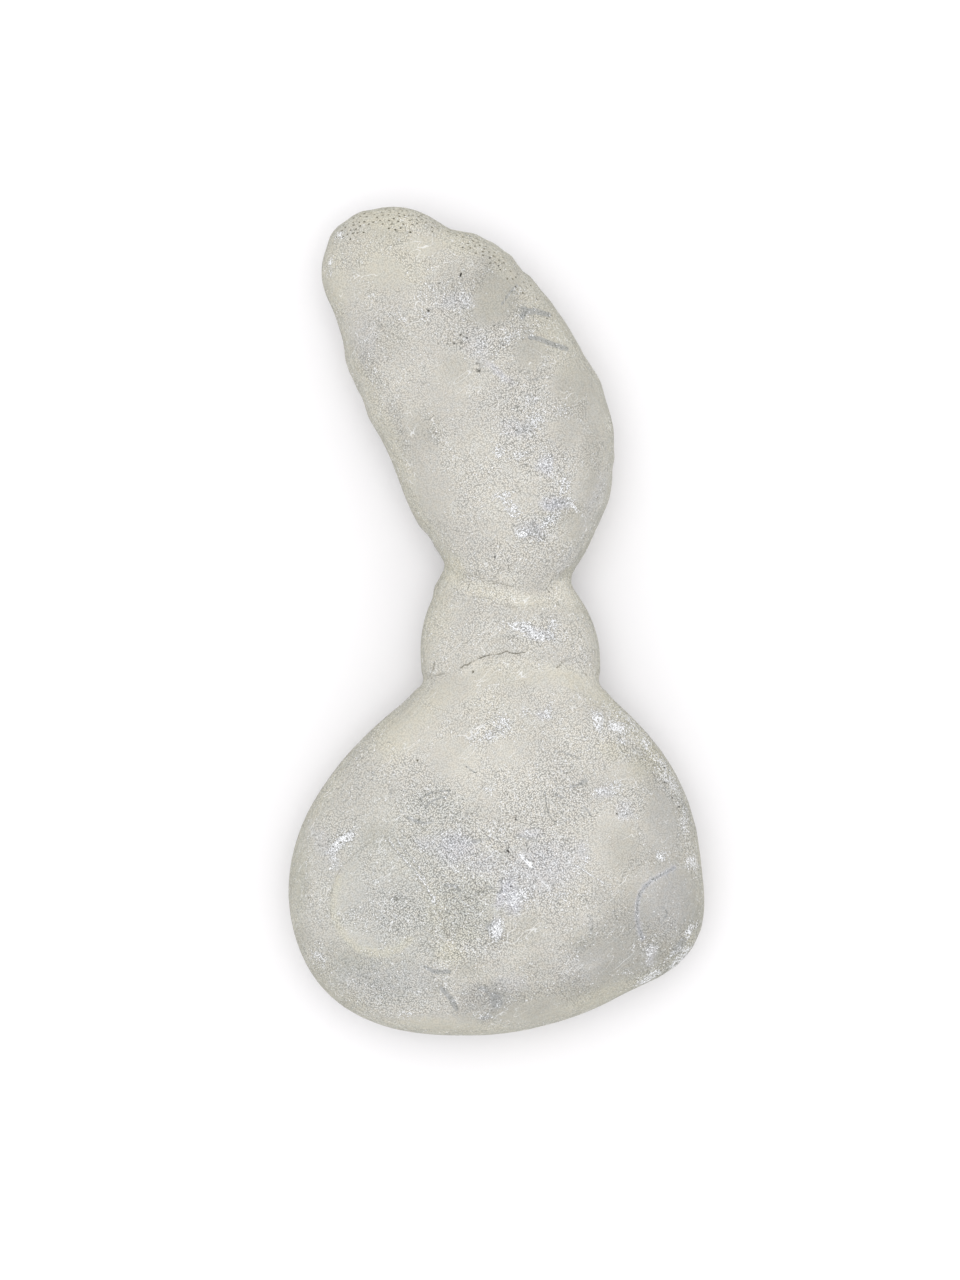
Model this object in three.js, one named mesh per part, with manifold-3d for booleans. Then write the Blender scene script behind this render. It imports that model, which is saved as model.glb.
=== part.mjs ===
// A fairy stone: a flat calcite concretion of the kind that grows in beds of glacial clay. Round
// lobes grew outwards from separate centres, met and fused, so the stone is one solid: a broad belly,
// a waist, a long upper lobe that leans to the left, and a small knob at its tip. Creases mark where
// the lobes met. On the belly a young disc stands a little proud of the skin, and a curved groove
// marks the edge of another.
//
// Millimetres, +Z up. The stone lies on its worn flat side, in the plane z = 0. +Y runs along it from
// the belly to the knob, and the origin is on the flat side under the middle of the stone's box.

import * as THREE from "three";
import { mergeVertices } from "three/addons/utils/BufferGeometryUtils.js";
import Module from "manifold-3d";

// ---- Driving dimensions -------------------------------------------------------------------------

// Each lobe is a flattened spheroid: its centre, its three half-axes, and how far it is turned about
// Z, in degrees anticlockwise. Where a lobe reaches below the flat side it is worn away.
const BELLY = { at: [0.4, -23.6, 5.0], half: [16.7, 11.4, 8.2], turn: 10 };
const LEFT_HIP = { at: [-6.7, -23.2, 4.8], half: [10.9, 10.8, 7.6], turn: 0 };
const RIGHT_HEEL = { at: [11.9, -24.6, 4.6], half: [5.6, 5.5, 5.6], turn: 0 };
const SHOULDERS = { at: [1.2, -16.2, 5.0], half: [14.0, 12.2, 8.0], turn: 0 };
const COLLAR = { at: [1.2, -11.5, 5.0], half: [8.2, 12.3, 7.6], turn: 0 };
const WAIST = { at: [1.2, -3.0, 5.0], half: [7.6, 8.6, 5.6], turn: 12 };
const TONGUE = { at: [1.3, 8.7, 5.0], half: [5.8, 9.4, 6.8], turn: 0 };
const LOWER_SPAN = { at: [1.5, 11.0, 5.0], half: [7.8, 7.9, 6.8], turn: 0 };
const MIDDLE_SPAN = { at: [0.3, 16.0, 5.0], half: [9.3, 10.6, 7.2], turn: 27 };
const UPPER_SPAN = { at: [-4.1, 23.7, 5.0], half: [9.1, 8.9, 6.6], turn: 0 };
const KNOB = { at: [-8.7, 29.4, 5.2], half: [6.1, 5.6, 4.9], turn: 0 };

// How softly neighbouring lobes run into one another: the width of the fillet.
const HIP_BLEND = 2;
const HEEL_BLEND = 2;
const SHOULDER_BLEND = 6;
const SPAN_BLEND = 3;
const KNOB_BLEND = 1.6;
const NECK_BLEND = 0.9;

// The worn side: how far past the flat its rounded edge would have run on, and how soft that edge is.
const WEAR_DEPTH = 0.3;
const WEAR_BLEND = 3;

// Slow waves in the skin, so that no lobe is a perfect spheroid: direction, length, rise and phase.
const SWELLS = [
  { along: [0.6, 0.37, 0.71], length: 15, rise: 0.1, phase: 0.7 },
  { along: [-0.38, 0.7, 0.6], length: 12, rise: 0.08, phase: 2.9 },
  { along: [0.3, -0.45, 0.84], length: 9.5, rise: 0.05, phase: 4.4 },
];

// The young disc on the belly's left: a round plate with a raised brim.
const DISC_AT = [-9.8, -23.8];
const DISC_RADIUS = 4.3;
const DISC_RISE = 0.12;
const BRIM_RISE = 0.26;
const BRIM_WIDTH = 1.0;

// Shallow grooves in the upper skin. Each is an arc about a point, from one angle to another,
// anticlockwise: the creases at the two necks, and the edge of a disc on the belly's right.
const GROOVES = [
  { about: [1.5, -14.0], radius: 11.4, from: 50, to: 130, width: 0.7, depth: 0.2 },
  { about: [1.2, 14.0], radius: 11.4, from: 246, to: 294, width: 0.7, depth: 0.15 },
  { about: [16.2, -24.9], radius: 4.3, from: 100, to: 212, width: 0.6, depth: 0.16 },
];

// The line that the stone's cross-sections follow, from the middle of the belly to the knob's centre.
const SPINE_HEIGHT = 5.0;
const SPINE = [
  [-1.0, -21.5],
  [1.2, -13.0],
  [1.4, -5.4],
  [1.2, 4.0],
  [1.2, 12.0],
  [-2.4, 21.0],
  [-8.4, 28.6],
];
const NECKS_AT = [-4.6, 3.4];

// The net of facets that covers the stone.
const RAYS_ABOVE = 47;
const RAYS_BELOW = 7;
const BELLY_CAP_STEPS = 17;
const KNOB_CAP_STEPS = 10;
const COARSE_STEP = 1.25;
const FINE_STEP = 0.55;
const FINE_REACH = 4;
const SECTION_FLATNESS = 0.55;
const DISC_SPOKES = 36;
const DISC_RINGS = 8;
const GROOVE_STEPS = 14;
const GROOVE_SIDES = 14;

const { clamp, degToRad, lerp, smoothstep } = THREE.MathUtils;

// ---- The lobes as one field: negative inside the stone, positive outside -------------------------

// About how far p is from a lobe's surface.
function lobeDistance(p, lobe) {
  const turn = degToRad(lobe.turn);
  const x = p.x - lobe.at[0];
  const y = p.y - lobe.at[1];
  const local = new THREE.Vector3(
    Math.cos(turn) * x + Math.sin(turn) * y,
    Math.cos(turn) * y - Math.sin(turn) * x,
    p.z - lobe.at[2],
  );
  const half = new THREE.Vector3(...lobe.half);
  const scaled = local.divide(half);
  const reach = scaled.length();
  const slope = scaled.divide(half).length();
  return slope > 0 ? (reach * (reach - 1)) / slope : -Math.min(...lobe.half);
}

// The lesser of two distances, with the crease between them filled by a fillet.
function blend(a, b, width) {
  const share = clamp(0.5 + (0.5 * (b - a)) / width, 0, 1);
  return lerp(b, a, share) - width * share * (1 - share);
}

function swelling(p) {
  let rise = 0;
  for (const swell of SWELLS) {
    const turns = p.dot(new THREE.Vector3(...swell.along)) / swell.length;
    rise += swell.rise * Math.sin(2 * Math.PI * turns + swell.phase);
  }
  return rise;
}

function stoneField(p) {
  let base = blend(lobeDistance(p, BELLY), lobeDistance(p, LEFT_HIP), HIP_BLEND);
  base = blend(base, lobeDistance(p, SHOULDERS), SHOULDER_BLEND);
  base = blend(base, lobeDistance(p, RIGHT_HEEL), HEEL_BLEND);
  base = blend(base, lobeDistance(p, COLLAR), HIP_BLEND);
  let upper = blend(lobeDistance(p, LOWER_SPAN), lobeDistance(p, MIDDLE_SPAN), SPAN_BLEND);
  upper = blend(upper, lobeDistance(p, UPPER_SPAN), SPAN_BLEND);
  upper = blend(upper, lobeDistance(p, TONGUE), HIP_BLEND);
  upper = blend(upper, lobeDistance(p, KNOB), KNOB_BLEND);
  const withWaist = blend(base, lobeDistance(p, WAIST), NECK_BLEND);
  const grown = blend(withWaist, upper, NECK_BLEND) - swelling(p);
  return -blend(-grown, p.z + WEAR_DEPTH, WEAR_BLEND);
}

// Walks from a point inside the stone until the field turns positive, then halves the last step.
function surfacePoint(from, direction) {
  const at = (r) => from.clone().addScaledVector(direction, r);
  const stride = 0.3;
  let outer = stride;
  while (stoneField(at(outer)) < 0) outer += stride;
  let inner = outer - stride;
  for (let i = 0; i < 18; i++) {
    const middle = (inner + outer) / 2;
    if (stoneField(at(middle)) < 0) inner = middle;
    else outer = middle;
  }
  return at((inner + outer) / 2);
}

// The point of the upper skin over (x, y), and the way out of the stone there.
function upperSkin(x, y) {
  const at = surfacePoint(new THREE.Vector3(x, y, SPINE_HEIGHT), new THREE.Vector3(0, 0, 1));
  const rate = (axis) => {
    const step = new THREE.Vector3().setComponent(axis, 0.05);
    return stoneField(at.clone().add(step)) - stoneField(at.clone().sub(step));
  };
  return { at, outwards: new THREE.Vector3(rate(0), rate(1), rate(2)).normalize() };
}

function lifted(skin, rise) {
  return skin.at.clone().addScaledVector(skin.outwards, rise);
}

// ---- Nets of facets ------------------------------------------------------------------------------

// A closed skin over rings of equally many points, with a single point beyond each end.
function closedNet(start, rings, end) {
  const around = rings[0].length;
  const points = [start, ...rings.flat(), end];
  const at = (row, i) => 1 + row * around + (i % around);
  const last = rings.length - 1;
  const faces = [];
  for (let i = 0; i < around; i++) {
    faces.push(0, at(0, i), at(0, i + 1));
    for (let row = 0; row < last; row++) {
      faces.push(at(row, i), at(row + 1, i + 1), at(row, i + 1));
      faces.push(at(row, i), at(row + 1, i), at(row + 1, i + 1));
    }
    faces.push(at(last, i), points.length - 1, at(last, i + 1));
  }
  const geometry = new THREE.BufferGeometry().setFromPoints(points);
  geometry.setIndex(faces);
  return geometry;
}

// Angles round the spine: closely spaced over the top and the sides, widely on the worn side.
function rayAngles() {
  const low = -40;
  const high = 220;
  const angles = [];
  for (let i = 0; i < RAYS_ABOVE; i++) {
    angles.push(degToRad(lerp(low, high, i / RAYS_ABOVE)));
  }
  for (let i = 0; i < RAYS_BELOW; i++) {
    angles.push(degToRad(lerp(high, low + 360, i / RAYS_BELOW)));
  }
  return angles;
}

// Places along the spine, closer together at the necks.
function stationsAlong(spine) {
  const length = spine.getLength();
  const stations = [0];
  let s = 0;
  while (s < length) {
    const y = spine.getPointAt(s / length).y;
    const toNeck = Math.min(...NECKS_AT.map((neck) => Math.abs(y - neck)));
    s += lerp(FINE_STEP, COARSE_STEP, Math.min(toNeck / FINE_REACH, 1));
    stations.push(Math.min(s / length, 1));
  }
  return stations;
}

// One ring of the skin. The lean of its rays is 0 straight out from the spine, and -90 or 90 degrees
// along it.
function ring(spine, place, lean) {
  const from = spine.getPointAt(place);
  const along = spine.getTangentAt(place);
  const side = new THREE.Vector3(along.y, -along.x, 0);
  return rayAngles().map((angle) => {
    const out = side.clone().multiplyScalar(Math.cos(angle));
    out.z = SECTION_FLATNESS * Math.sin(angle);
    const direction = out.multiplyScalar(Math.cos(lean)).addScaledVector(along, Math.sin(lean));
    return surfacePoint(from, direction.normalize());
  });
}

// The whole skin: a fan of rings round the belly's end, rings along the spine, a fan at the knob.
function stoneSkin() {
  const knots = SPINE.map(([x, y]) => new THREE.Vector3(x, y, SPINE_HEIGHT));
  const spine = new THREE.CatmullRomCurve3(knots);
  const rings = [];
  for (let i = 1; i < BELLY_CAP_STEPS; i++) {
    rings.push(ring(spine, 0, (-Math.PI / 2) * (1 - i / BELLY_CAP_STEPS)));
  }
  for (const place of stationsAlong(spine)) rings.push(ring(spine, place, 0));
  for (let i = 1; i < KNOB_CAP_STEPS; i++) {
    rings.push(ring(spine, 1, (Math.PI / 2) * (i / KNOB_CAP_STEPS)));
  }
  const start = surfacePoint(spine.getPointAt(0), spine.getTangentAt(0).negate());
  const end = surfacePoint(spine.getPointAt(1), spine.getTangentAt(1));
  return closedNet(start, rings, end);
}

// How far the young disc stands off the skin at r from its centre: flat, then the brim, then down
// into the stone.
function discRise(r) {
  const crest = DISC_RADIUS - BRIM_WIDTH / 2;
  const toBrim = smoothstep(r, crest - BRIM_WIDTH, crest);
  const past = smoothstep(r, crest, DISC_RADIUS + BRIM_WIDTH / 2);
  return lerp(DISC_RISE, BRIM_RISE, toBrim) - 3 * BRIM_RISE * past;
}

// A plate on the skin, closed by a cone that ends deep in the stone.
function discNet() {
  const [x0, y0] = DISC_AT;
  const reach = DISC_RADIUS + BRIM_WIDTH / 2;
  const rings = [];
  for (let j = 1; j <= DISC_RINGS; j++) {
    const r = reach * Math.sqrt(j / DISC_RINGS);
    const points = [];
    for (let i = 0; i < DISC_SPOKES; i++) {
      const angle = (2 * Math.PI * i) / DISC_SPOKES;
      const skin = upperSkin(x0 + r * Math.cos(angle), y0 + r * Math.sin(angle));
      points.push(lifted(skin, discRise(r)));
    }
    rings.push(points);
  }
  const middle = lifted(upperSkin(x0, y0), DISC_RISE);
  return closedNet(middle, rings, new THREE.Vector3(x0, y0, SPINE_HEIGHT));
}

// A round bar along a groove. It sinks into the skin to the groove's depth, less at its ends.
function grooveNet({ about, radius, from, to, width, depth }) {
  const barRadius = (width ** 2 / 4 + depth ** 2) / (2 * depth);
  const skinAt = (share) => {
    const angle = degToRad(lerp(from, to, share));
    return upperSkin(about[0] + radius * Math.cos(angle), about[1] + radius * Math.sin(angle));
  };
  const rings = [];
  for (let j = 0; j <= GROOVE_STEPS; j++) {
    const share = j / GROOVE_STEPS;
    const skin = skinAt(share);
    const along = skinAt(share + 0.01).at.sub(skinAt(share - 0.01).at).normalize();
    const across = skin.outwards.clone().cross(along);
    const centre = lifted(skin, barRadius - depth * Math.sqrt(Math.sin(Math.PI * share)));
    const points = [];
    for (let i = 0; i < GROOVE_SIDES; i++) {
      const angle = (2 * Math.PI * i) / GROOVE_SIDES;
      const out = skin.outwards.clone().multiplyScalar(Math.cos(angle));
      out.addScaledVector(across, Math.sin(angle));
      points.push(centre.clone().addScaledVector(out, barRadius));
    }
    rings.push(points);
  }
  return closedNet(lifted(skinAt(0), barRadius), rings, lifted(skinAt(1), barRadius));
}

// ---- Solids --------------------------------------------------------------------------------------

const wasm = await Module();
wasm.setup();

function solidOf(geometry) {
  const bare = geometry.clone();
  bare.deleteAttribute("normal");
  bare.deleteAttribute("uv");
  const merged = mergeVertices(bare, 1e-4);
  return new wasm.Manifold(
    new wasm.Mesh({
      numProp: 3,
      vertProperties: new Float32Array(merged.attributes.position.array),
      triVerts: new Uint32Array(merged.index.array),
    }),
  );
}

function geometryOf(solid) {
  const mesh = solid.getMesh();
  const geometry = new THREE.BufferGeometry();
  geometry.setAttribute("position", new THREE.BufferAttribute(mesh.vertProperties, 3));
  geometry.setIndex(new THREE.BufferAttribute(mesh.triVerts, 1));
  geometry.computeVertexNormals();
  return geometry;
}

// Everything below the flat side.
function belowTheFlatSide() {
  const size = 200;
  return solidOf(new THREE.BoxGeometry(size, size, size).translate(0, 0, -size / 2));
}

let stoneSolid = solidOf(stoneSkin()).add(solidOf(discNet()));
for (const groove of GROOVES) stoneSolid = stoneSolid.subtract(solidOf(grooveNet(groove)));
stoneSolid = stoneSolid.subtract(belowTheFlatSide());

// ---- The stone -----------------------------------------------------------------------------------

const chalkyCalcite = new THREE.MeshStandardMaterial({
  color: new THREE.Color(0.8, 0.79, 0.75),
  roughness: 0.9,
  metalness: 0,
});

const stone = new THREE.Mesh(geometryOf(stoneSolid), chalkyCalcite);
stone.name = "stone";

const fairyStone = new THREE.Group();
fairyStone.add(stone);
export default fairyStone;
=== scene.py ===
"""The looks of a fairy stone: a dry, chalky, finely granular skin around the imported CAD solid.

Places on the stone are in millimetres in the part's own frame: +X right, +Y towards the knob, +Z up,
from the middle of the flat side it lies on. Blender's own lengths are metres.
"""

import math

import bmesh
import bpy
import numpy as np
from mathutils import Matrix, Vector, noise


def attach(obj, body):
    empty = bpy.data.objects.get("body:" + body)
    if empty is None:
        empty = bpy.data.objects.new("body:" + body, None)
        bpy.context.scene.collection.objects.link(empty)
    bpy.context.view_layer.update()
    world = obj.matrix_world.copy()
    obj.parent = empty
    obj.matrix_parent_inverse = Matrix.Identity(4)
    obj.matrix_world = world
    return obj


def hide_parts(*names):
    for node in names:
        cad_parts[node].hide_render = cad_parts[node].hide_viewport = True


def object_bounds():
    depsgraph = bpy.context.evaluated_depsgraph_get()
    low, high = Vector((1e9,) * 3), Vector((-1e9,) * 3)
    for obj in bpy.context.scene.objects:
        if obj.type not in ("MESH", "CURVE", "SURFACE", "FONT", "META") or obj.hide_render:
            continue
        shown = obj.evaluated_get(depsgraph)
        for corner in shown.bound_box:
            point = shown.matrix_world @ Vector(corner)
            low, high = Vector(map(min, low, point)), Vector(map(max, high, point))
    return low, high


MM = 0.001

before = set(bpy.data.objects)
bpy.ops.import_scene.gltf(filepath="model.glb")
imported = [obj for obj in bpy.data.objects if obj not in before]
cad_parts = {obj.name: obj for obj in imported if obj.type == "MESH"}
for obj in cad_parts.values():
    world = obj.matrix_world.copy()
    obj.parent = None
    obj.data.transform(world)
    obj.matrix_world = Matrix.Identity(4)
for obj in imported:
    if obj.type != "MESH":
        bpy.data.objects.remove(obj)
cad_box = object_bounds()


# ---- Camera -------------------------------------------------------------------------------------

CAMERA_HEIGHT = 450 * MM
CAMERA_AIM = (-1.35 * MM, -1.65 * MM, 5 * MM)
VIEW_HEIGHT = 108.3 * MM
SENSOR = 36.0


def add_camera():
    """Looks straight down on the stone, with the knob at the top of the picture."""
    data = bpy.data.cameras.new("camera")
    data.sensor_fit = "AUTO"
    data.sensor_width = SENSOR
    data.lens = SENSOR * CAMERA_HEIGHT / VIEW_HEIGHT
    data.clip_start = 10 * MM
    data.clip_end = 10
    camera = bpy.data.objects.new("camera", data)
    camera.location = Vector(CAMERA_AIM) + Vector((0, 0, CAMERA_HEIGHT))
    bpy.context.collection.objects.link(camera)
    bpy.context.scene.camera = camera


# ---- Studio -------------------------------------------------------------------------------------

FLOOR_HALF = 2.0
FLOOR_COLOUR = (0.785, 0.777, 0.788)
SKY_STRENGTH = 1.23
LAMP_POWER = 1.4
LAMP_SIZE = 0.6
LAMP_AT = (-0.03, 0.04, 0.7)


def add_floor():
    mesh = bpy.data.meshes.new("floor")
    corners = [(x * FLOOR_HALF, y * FLOOR_HALF, 0) for x, y in ((-1, -1), (1, -1), (1, 1), (-1, 1))]
    mesh.from_pydata(corners, [], [(0, 1, 2, 3)])
    material = bpy.data.materials.new("floor")
    material.use_nodes = True
    shader = material.node_tree.nodes["Principled BSDF"]
    shader.inputs["Base Color"].default_value = (*FLOOR_COLOUR, 1)
    shader.inputs["Roughness"].default_value = 1
    shader.inputs["Specular IOR Level"].default_value = 0
    mesh.materials.append(material)
    floor = bpy.data.objects.new("floor", mesh)
    bpy.context.collection.objects.link(floor)


def add_lights():
    """An even white sky, and one large soft lamp, almost straight above."""
    scene = bpy.context.scene
    scene.view_settings.view_transform = "Standard"
    scene.world = bpy.data.worlds.new("sky")
    scene.world.use_nodes = True
    background = scene.world.node_tree.nodes["Background"]
    background.inputs["Color"].default_value = (1, 1, 1, 1)
    background.inputs["Strength"].default_value = SKY_STRENGTH
    data = bpy.data.lights.new("lamp", "AREA")
    data.shape = "DISK"
    data.size = LAMP_SIZE
    data.energy = LAMP_POWER
    lamp = bpy.data.objects.new("lamp", data)
    lamp.location = LAMP_AT
    lamp.rotation_euler = Vector(LAMP_AT).to_track_quat("Z", "Y").to_euler()
    bpy.context.collection.objects.link(lamp)


# ---- Where things are on the skin ---------------------------------------------------------------

# All marks are placed as they are seen from straight above the stone's middle, by their place on the
# level plane that the camera aims at; seen_from_above puts the skin there. Only SIDES has true places.

# Patches, each (x, y, half length, half width, turn in degrees anticlockwise, strength).
# White chalk, in crusts and clusters of grains.
CHALK = [
    (11.2, -8.8, 2.6, 0.6, -48, 0.5),
    (14.4, -12.8, 2.6, 0.5, -58, 0.6),
    (-5.6, 27.6, 1.5, 0.5, 20, 0.4),
    (-6.0, 26.0, 0.5, 0.5, 0, 0.5),
    (-2.6, 27.0, 0.5, 0.8, 30, 0.5),
    (1.3, 23.9, 1.2, 0.4, 40, 0.6),
    (-1.2, 23.2, 0.6, 1.2, -10, 0.35),
    (2.9, 24.3, 0.7, 0.4, 0, 0.4),
    (3.2, 18.7, 1.0, 0.5, 20, 0.5),
    (3.3, 16.8, 0.9, 0.8, 0, 0.6),
    (5.5, 17.8, 1.0, 0.5, 0, 0.5),
    (0.4, 14.3, 0.5, 0.7, 0, 0.8),
    (2.2, 14.0, 0.6, 0.5, 0, 0.5),
    (4.4, 13.2, 0.7, 1.1, 0, 0.7),
    (5.8, 11.5, 0.4, 0.8, 0, 0.6),
    (6.3, 10.0, 0.7, 0.4, 0, 0.5),
    (0.6, 10.4, 0.9, 0.3, 20, 0.8),
    (1.3, 9.5, 1.1, 0.35, -45, 0.8),
    (2.3, 7.4, 0.7, 0.5, 0, 1.0),
    (4.6, 8.5, 1.1, 0.4, 40, 0.7),
    (3.6, 7.0, 0.6, 0.6, 0, 0.6),
    (2.1, -0.6, 0.9, 0.5, -15, 0.6),
    (4.0, -1.3, 1.2, 0.5, -10, 0.8),
    (4.8, -0.3, 0.4, 0.9, 0, 0.6),
    (0.6, -8.8, 0.7, 0.9, 0, 0.7),
    (-0.8, -9.6, 0.8, 0.5, 30, 0.8),
    (-1.9, -9.9, 0.5, 0.6, 0, 0.5),
    (4.4, -7.7, 0.4, 0.9, -10, 0.7),
    (2.5, -7.8, 0.6, 0.4, 0, 0.5),
    (8.5, -8.4, 0.4, 1.0, 15, 0.9),
    (10.2, -9.0, 1.1, 0.45, -15, 0.9),
    (10.7, -10.2, 0.5, 0.35, 0, 0.7),
    (12.7, -10.5, 0.7, 0.35, -40, 0.8),
    (10.0, -14.0, 0.8, 0.8, 30, 0.6),
    (8.8, -14.6, 0.7, 0.4, 20, 0.7),
    (10.8, -16.0, 0.6, 0.6, 0, 0.5),
    (-13.1, -18.8, 1.5, 0.45, 48, 1.2),
    (-13.6, -20.5, 0.4, 0.5, 0, 0.7),
    (-0.7, -14.3, 0.8, 0.4, 0, 0.6),
    (0.2, -17.6, 0.9, 0.5, 0, 0.5),
    (-4.0, -18.3, 1.0, 0.6, 0, 0.6),
    (2.0, -23.2, 1.5, 0.9, 0, 0.7),
    (0.1, -26.2, 0.5, 1.1, -10, 1.0),
    (1.3, -21.5, 0.7, 0.9, 0, 0.6),
    (5.3, -23.3, 0.9, 0.5, 0, 0.5),
    (-15.0, -28.4, 0.6, 0.5, 0, 0.6),
    (13.0, -28.0, 0.5, 0.9, 0, 0.6),
    (12.9, -30.2, 1.2, 0.3, 28, 0.8),
    (10.9, -29.8, 0.6, 0.3, 0, 0.5),
    (14.1, -19.8, 0.5, 0.5, 0, 0.8),
    (16.4, -20.4, 0.5, 0.8, 20, 0.7),
    (16.5, -26.4, 1.1, 0.25, 62, 0.8),
    (15.5, -28.6, 1.6, 0.25, 48, 0.8),
    (15.0, -28.2, 0.9, 0.2, 40, 0.7),
    (16.1, -17.2, 1.6, 0.2, -75, 0.5),
    (-14.0, 30.2, 0.9, 0.3, 80, 0.6),
    (-13.1, 32.6, 0.5, 0.25, 50, 0.6),
    (-10.6, 31.0, 0.3, 0.2, 0, 0.4),
    (-8.2, 25.6, 0.9, 0.2, 0, 0.5),
    (0.4, -0.3, 0.4, 0.2, 0, 0.6),
    (-7.6, -33.4, 0.8, 0.3, 0, 0.5),
    (-0.9, -33.4, 0.8, 0.3, 0, 0.5),
]

# A cool lavender-grey bloom.
LILAC = [
    (11.0, -27.0, 3.6, 3.6, 20, 0.2),
    (7.6, -29.2, 2.6, 1.6, 20, 0.3),
    (-1.0, -32.0, 2.6, 1.4, 0, 0.3),
    (-10.0, -24.2, 3.0, 2.8, 0, 0.2),
    (-11.3, 23.6, 1.3, 1.8, 0, 0.3),
    (-3.6, 27.0, 1.4, 0.8, 0, 0.5),
    (-1.6, 23.2, 1.0, 1.6, 20, 0.4),
    (0.2, 21.0, 1.6, 0.35, -38, 1.0),
    (1.6, 16.2, 1.5, 0.7, 0, 0.5),
    (4.2, 13.0, 0.7, 0.9, 0, 1.0),
    (5.0, 9.9, 1.2, 0.6, 0, 1.1),
    (3.0, 7.7, 1.1, 0.7, 0, 0.6),
    (8.6, 9.5, 0.9, 4.0, -20, 0.4),
    (6.1, 5.1, 2.0, 0.5, 52, 0.5),
    (14.3, -17.0, 1.6, 3.4, 0, 0.25),
    (3.4, -1.0, 1.5, 0.5, -20, 0.8),
    (3.9, -8.1, 0.5, 0.4, 0, 0.7),
    (-3.4, -19.2, 1.7, 1.3, 0, 0.9),
    (-5.9, -19.0, 1.0, 0.6, -20, 0.6),
    (-1.0, -20.6, 1.6, 1.0, 0, 0.6),
    (1.2, -23.3, 0.9, 1.6, 15, 1.2),
    (0.1, -26.0, 0.4, 0.9, 0, 1.0),
    (3.0, -18.0, 1.2, 0.5, 0, 0.8),
    (4.0, -20.8, 3.2, 2.2, 20, 0.6),
    (7.2, -19.6, 0.6, 1.0, 0, 0.6),
    (10.8, -16.0, 0.8, 0.8, 0, 0.6),
    (9.2, -14.6, 0.8, 0.5, 20, 0.6),
    (7.8, -25.5, 0.8, 0.6, 0, 0.3),
    (-9.0, -30.5, 5.0, 1.5, 0, 0.3),
    (-14.5, -19.0, 0.8, 2.2, 30, 0.4),
    (14.5, -24.0, 2.6, 3.2, 0, 0.4),
    (13.1, -28.4, 0.5, 0.9, 0, 0.8),
    (1.0, -30.8, 1.6, 0.8, 0, 0.4),
]

# A warm cream film, and thin cream crusts along the rims.
CREAM = [
    (-9.0, 31.6, 4.2, 3.4, 0, 0.6),
    (-9.0, 34.0, 3.5, 1.3, 0, 1.0),
    (-13.6, 29.0, 1.0, 3.4, 0, 0.65),
    (-7.2, 29.8, 1.6, 1.8, 0, 0.6),
    (-3.2, 32.2, 2.5, 1.2, -20, 0.8),
    (0.5, 30.5, 1.0, 2.4, 35, 0.5),
    (4.3, 25.3, 1.4, 5.0, 28, 0.5),
    (-0.2, 27.2, 1.4, 1.8, -20, 0.2),
    (5.8, 21.4, 1.0, 1.0, 0, 0.4),
    (-9.7, 17.0, 0.7, 7.5, 25, 0.5),
    (-7.0, 9.5, 0.7, 4.5, 25, 0.5),
    (-3.7, 4.2, 1.0, 1.6, 30, 0.9),
    (-5.0, 0.5, 1.2, 3.0, -15, 0.6),
    (-0.3, 2.3, 2.6, 0.7, -15, 0.6),
    (3.0, 1.6, 2.2, 0.6, 0, 0.6),
    (6.0, 2.2, 1.6, 1.4, -30, 0.5),
    (11.0, -8.6, 1.8, 0.7, -45, 0.8),
    (0.5, -4.4, 4.0, 1.2, 0, 0.4),
    (-1.0, -7.0, 2.6, 1.4, 0, 0.35),
    (6.0, -4.8, 2.5, 0.8, -20, 0.7),
    (8.6, -6.2, 1.3, 0.9, -40, 0.7),
    (-6.0, -7.5, 3.5, 1.2, 40, 0.6),
    (-8.8, -9.8, 1.7, 2.0, 0, 0.8),
    (9.8, -10.9, 1.4, 0.9, 0, 0.6),
    (12.3, -12.3, 1.2, 1.0, -30, 0.6),
    (-5.0, -24.6, 0.9, 1.8, 20, 0.5),
    (-4.0, -28.2, 1.3, 1.0, 0, 0.9),
    (-2.6, -26.6, 0.9, 0.9, 0, 0.6),
    (-16.8, -21.5, 0.6, 4.5, 0, 0.4),
    (-13.5, -31.2, 3.4, 0.8, -35, 0.3),
    (-4.0, -34.4, 5.5, 0.6, -4, 0.6),
    (9.0, -31.8, 5.0, 0.6, 22, 0.6),
    (16.0, -27.6, 0.4, 1.2, -40, 0.7),
    (-14.8, -14.6, 0.7, 4.0, -32, 0.4),
]

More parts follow.
